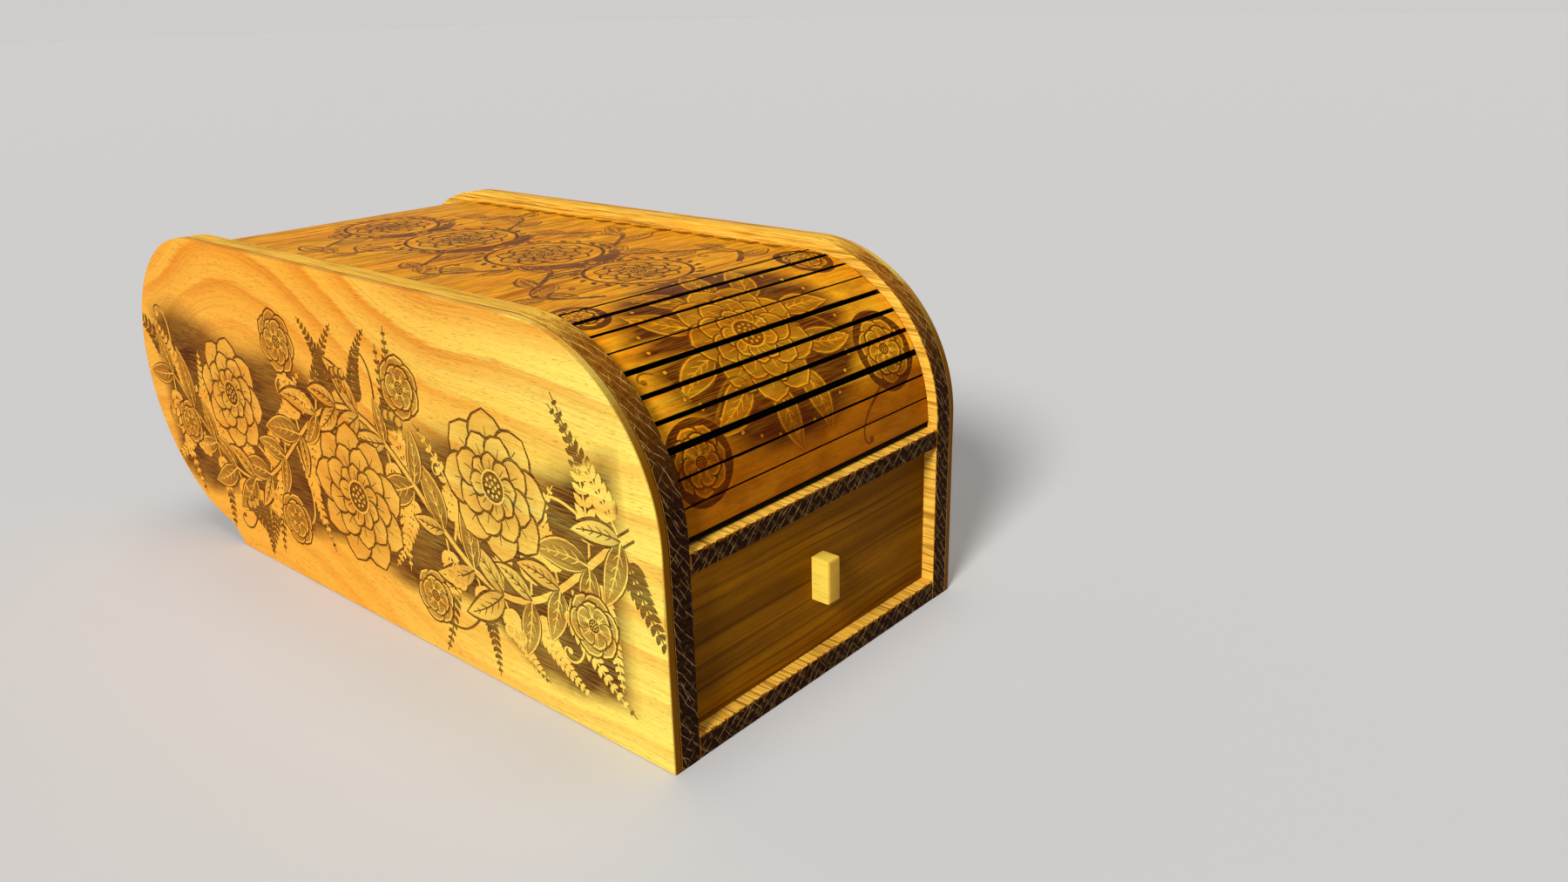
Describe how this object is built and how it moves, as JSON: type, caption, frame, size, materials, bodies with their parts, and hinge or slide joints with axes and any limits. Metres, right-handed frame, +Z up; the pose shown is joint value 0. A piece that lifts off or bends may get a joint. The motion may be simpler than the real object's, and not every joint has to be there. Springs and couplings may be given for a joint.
{
  "type": "tambour pencil box",
  "caption": "Wooden desk box with rounded sides, a roll lid of thin slats running in grooves over a pencil compartment, and a small knobbed drawer beneath.",
  "frame": {"origin": "on the resting plane, under the middle of the outside size with the knob counted", "axes": "+Z up, -Y towards the drawer front, X across the box"},
  "size_m": [0.1134, 0.2458, 0.1],
  "materials": {
    "smooth_side_wood": "thin smooth side board, honey coloured, oiled, with brown engraved lines",
    "sawn_oak": "rough sawn oak, darker on its sawn edges",
    "slat_wood": "amber slats with a glossy oil finish",
    "drawer_front_wood": "smooth satin wood with its grain level",
    "inner_wood": "plain unfinished inner boards",
    "knob_wood": "pale sanded wood",
    "backing_cloth": "black woven cloth"
  },
  "bodies": {
    "case": {"left_side_skin": "smooth_side_wood", "left_side_inner": "sawn_oak", "right_side_skin": "smooth_side_wood", "right_side_inner": "sawn_oak", "base_board": "sawn_oak", "compartment_shelf": "sawn_oak", "inner_back": "inner_wood", "drawer_bay_back": "inner_wood"},
    "drawer": {"drawer_front": "drawer_front_wood", "drawer_left_side": "inner_wood", "drawer_right_side": "inner_wood", "drawer_back": "inner_wood", "drawer_bottom": "inner_wood", "drawer_knob": "knob_wood"},
    "lid_top": {"slat_11": "slat_wood", "slat_12": "slat_wood", "slat_13": "slat_wood", "slat_14": "slat_wood", "slat_15": "slat_wood", "slat_16": "slat_wood", "slat_17": "slat_wood", "slat_18": "slat_wood", "slat_19": "slat_wood", "slat_20": "slat_wood", "slat_21": "slat_wood", "slat_22": "slat_wood", "slat_23": "slat_wood", "slat_24": "slat_wood", "slat_25": "slat_wood", "slat_26": "slat_wood", "slat_27": "slat_wood", "slat_28": "slat_wood", "slat_29": "slat_wood", "slat_30": "slat_wood", "backing_cloth_top": "backing_cloth"},
    "lid_front": {"slat_01": "slat_wood", "slat_02": "slat_wood", "slat_03": "slat_wood", "slat_04": "slat_wood", "slat_05": "slat_wood", "backing_cloth_front": "backing_cloth"},
    "lid_back": {"slat_36": "slat_wood", "slat_37": "slat_wood", "slat_38": "slat_wood", "slat_39": "slat_wood", "slat_40": "slat_wood", "slat_41": "slat_wood", "slat_42": "slat_wood", "backing_cloth_back": "backing_cloth", "tail_slats": "slat_wood"},
    "bend_06": {"slat_06": "slat_wood"},
    "bend_07": {"slat_07": "slat_wood"},
    "bend_08": {"slat_08": "slat_wood"},
    "bend_09": {"slat_09": "slat_wood"},
    "bend_10": {"slat_10": "slat_wood"},
    "bend_31": {"slat_31": "slat_wood"},
    "bend_32": {"slat_32": "slat_wood"},
    "bend_33": {"slat_33": "slat_wood"},
    "bend_34": {"slat_34": "slat_wood"},
    "bend_35": {"slat_35": "slat_wood"}
  },
  "joints": [
    {"name": "drawer_slide", "type": "slide", "parent": "case", "child": "drawer", "axis": [0, -1, 0], "range_m": [0, 0.11]},
    {"name": "lid_slide", "type": "slide", "parent": "case", "child": "lid_top", "axis": [0, 1, 0], "range_m": [0, 0.0305]},
    {"name": "lid_front_turn", "type": "hinge", "parent": "case", "child": "lid_front", "pos_m": [0, -0.0753, 0.0542], "axis": [-1, 0, 0], "range_deg": [0, 43.79]},
    {"name": "lid_back_turn", "type": "hinge", "parent": "case", "child": "lid_back", "pos_m": [0, 0.07585, 0.05295], "axis": [-1, 0, 0], "range_deg": [0, 42.46]},
    {"name": "bend_06_turn", "type": "hinge", "parent": "case", "child": "bend_06", "pos_m": [0, -0.07437, 0.05214], "axis": [-1, 0, 0], "range_deg": [0, 41.5]},
    {"name": "bend_07_turn", "type": "hinge", "parent": "case", "child": "bend_07", "pos_m": [0, -0.07064, 0.03845], "axis": [-1, 0, 0], "range_deg": [0, 31.15]},
    {"name": "bend_08_turn", "type": "hinge", "parent": "case", "child": "bend_08", "pos_m": [0, -0.06888, 0.028], "axis": [-1, 0, 0], "range_deg": [0, 26.25]},
    {"name": "bend_09_turn", "type": "hinge", "parent": "case", "child": "bend_09", "pos_m": [0, -0.06502, -0.01784], "axis": [-1, 0, 0], "range_deg": [0, 15.56]},
    {"name": "bend_10_turn", "type": "hinge", "parent": "case", "child": "bend_10", "pos_m": [0, -0.06009, -0.26448], "axis": [-1, 0, 0], "range_deg": [0, 4.88]},
    {"name": "bend_31_turn", "type": "hinge", "parent": "case", "child": "bend_31", "pos_m": [0, 0.06057, -0.31808], "axis": [-1, 0, 0], "range_deg": [0, 4.25]},
    {"name": "bend_32_turn", "type": "hinge", "parent": "case", "child": "bend_32", "pos_m": [0, 0.06464, -0.04285], "axis": [-1, 0, 0], "range_deg": [0, 12.74]},
    {"name": "bend_33_turn", "type": "hinge", "parent": "case", "child": "bend_33", "pos_m": [0, 0.06791, 0.01223], "axis": [-1, 0, 0], "range_deg": [0, 21.23]},
    {"name": "bend_34_turn", "type": "hinge", "parent": "case", "child": "bend_34", "pos_m": [0, 0.07105, 0.03573], "axis": [-1, 0, 0], "range_deg": [0, 29.72]},
    {"name": "bend_35_turn", "type": "hinge", "parent": "case", "child": "bend_35", "pos_m": [0, 0.07416, 0.04859], "axis": [-1, 0, 0], "range_deg": [0, 38.21]}
  ],
  "couplings": [
    {"joint": "lid_front_turn", "follows": "lid_slide", "rad_per_m": 25},
    {"joint": "lid_back_turn", "follows": "lid_slide", "rad_per_m": 24.242},
    {"joint": "bend_06_turn", "follows": "lid_slide", "rad_per_m": 23.694},
    {"joint": "bend_07_turn", "follows": "lid_slide", "rad_per_m": 17.786},
    {"joint": "bend_08_turn", "follows": "lid_slide", "rad_per_m": 14.986},
    {"joint": "bend_09_turn", "follows": "lid_slide", "rad_per_m": 8.8856},
    {"joint": "bend_10_turn", "follows": "lid_slide", "rad_per_m": 2.7856},
    {"joint": "bend_31_turn", "follows": "lid_slide", "rad_per_m": 2.4242},
    {"joint": "bend_32_turn", "follows": "lid_slide", "rad_per_m": 7.2728},
    {"joint": "bend_33_turn", "follows": "lid_slide", "rad_per_m": 12.121},
    {"joint": "bend_34_turn", "follows": "lid_slide", "rad_per_m": 16.97},
    {"joint": "bend_35_turn", "follows": "lid_slide", "rad_per_m": 21.818}
  ]
}
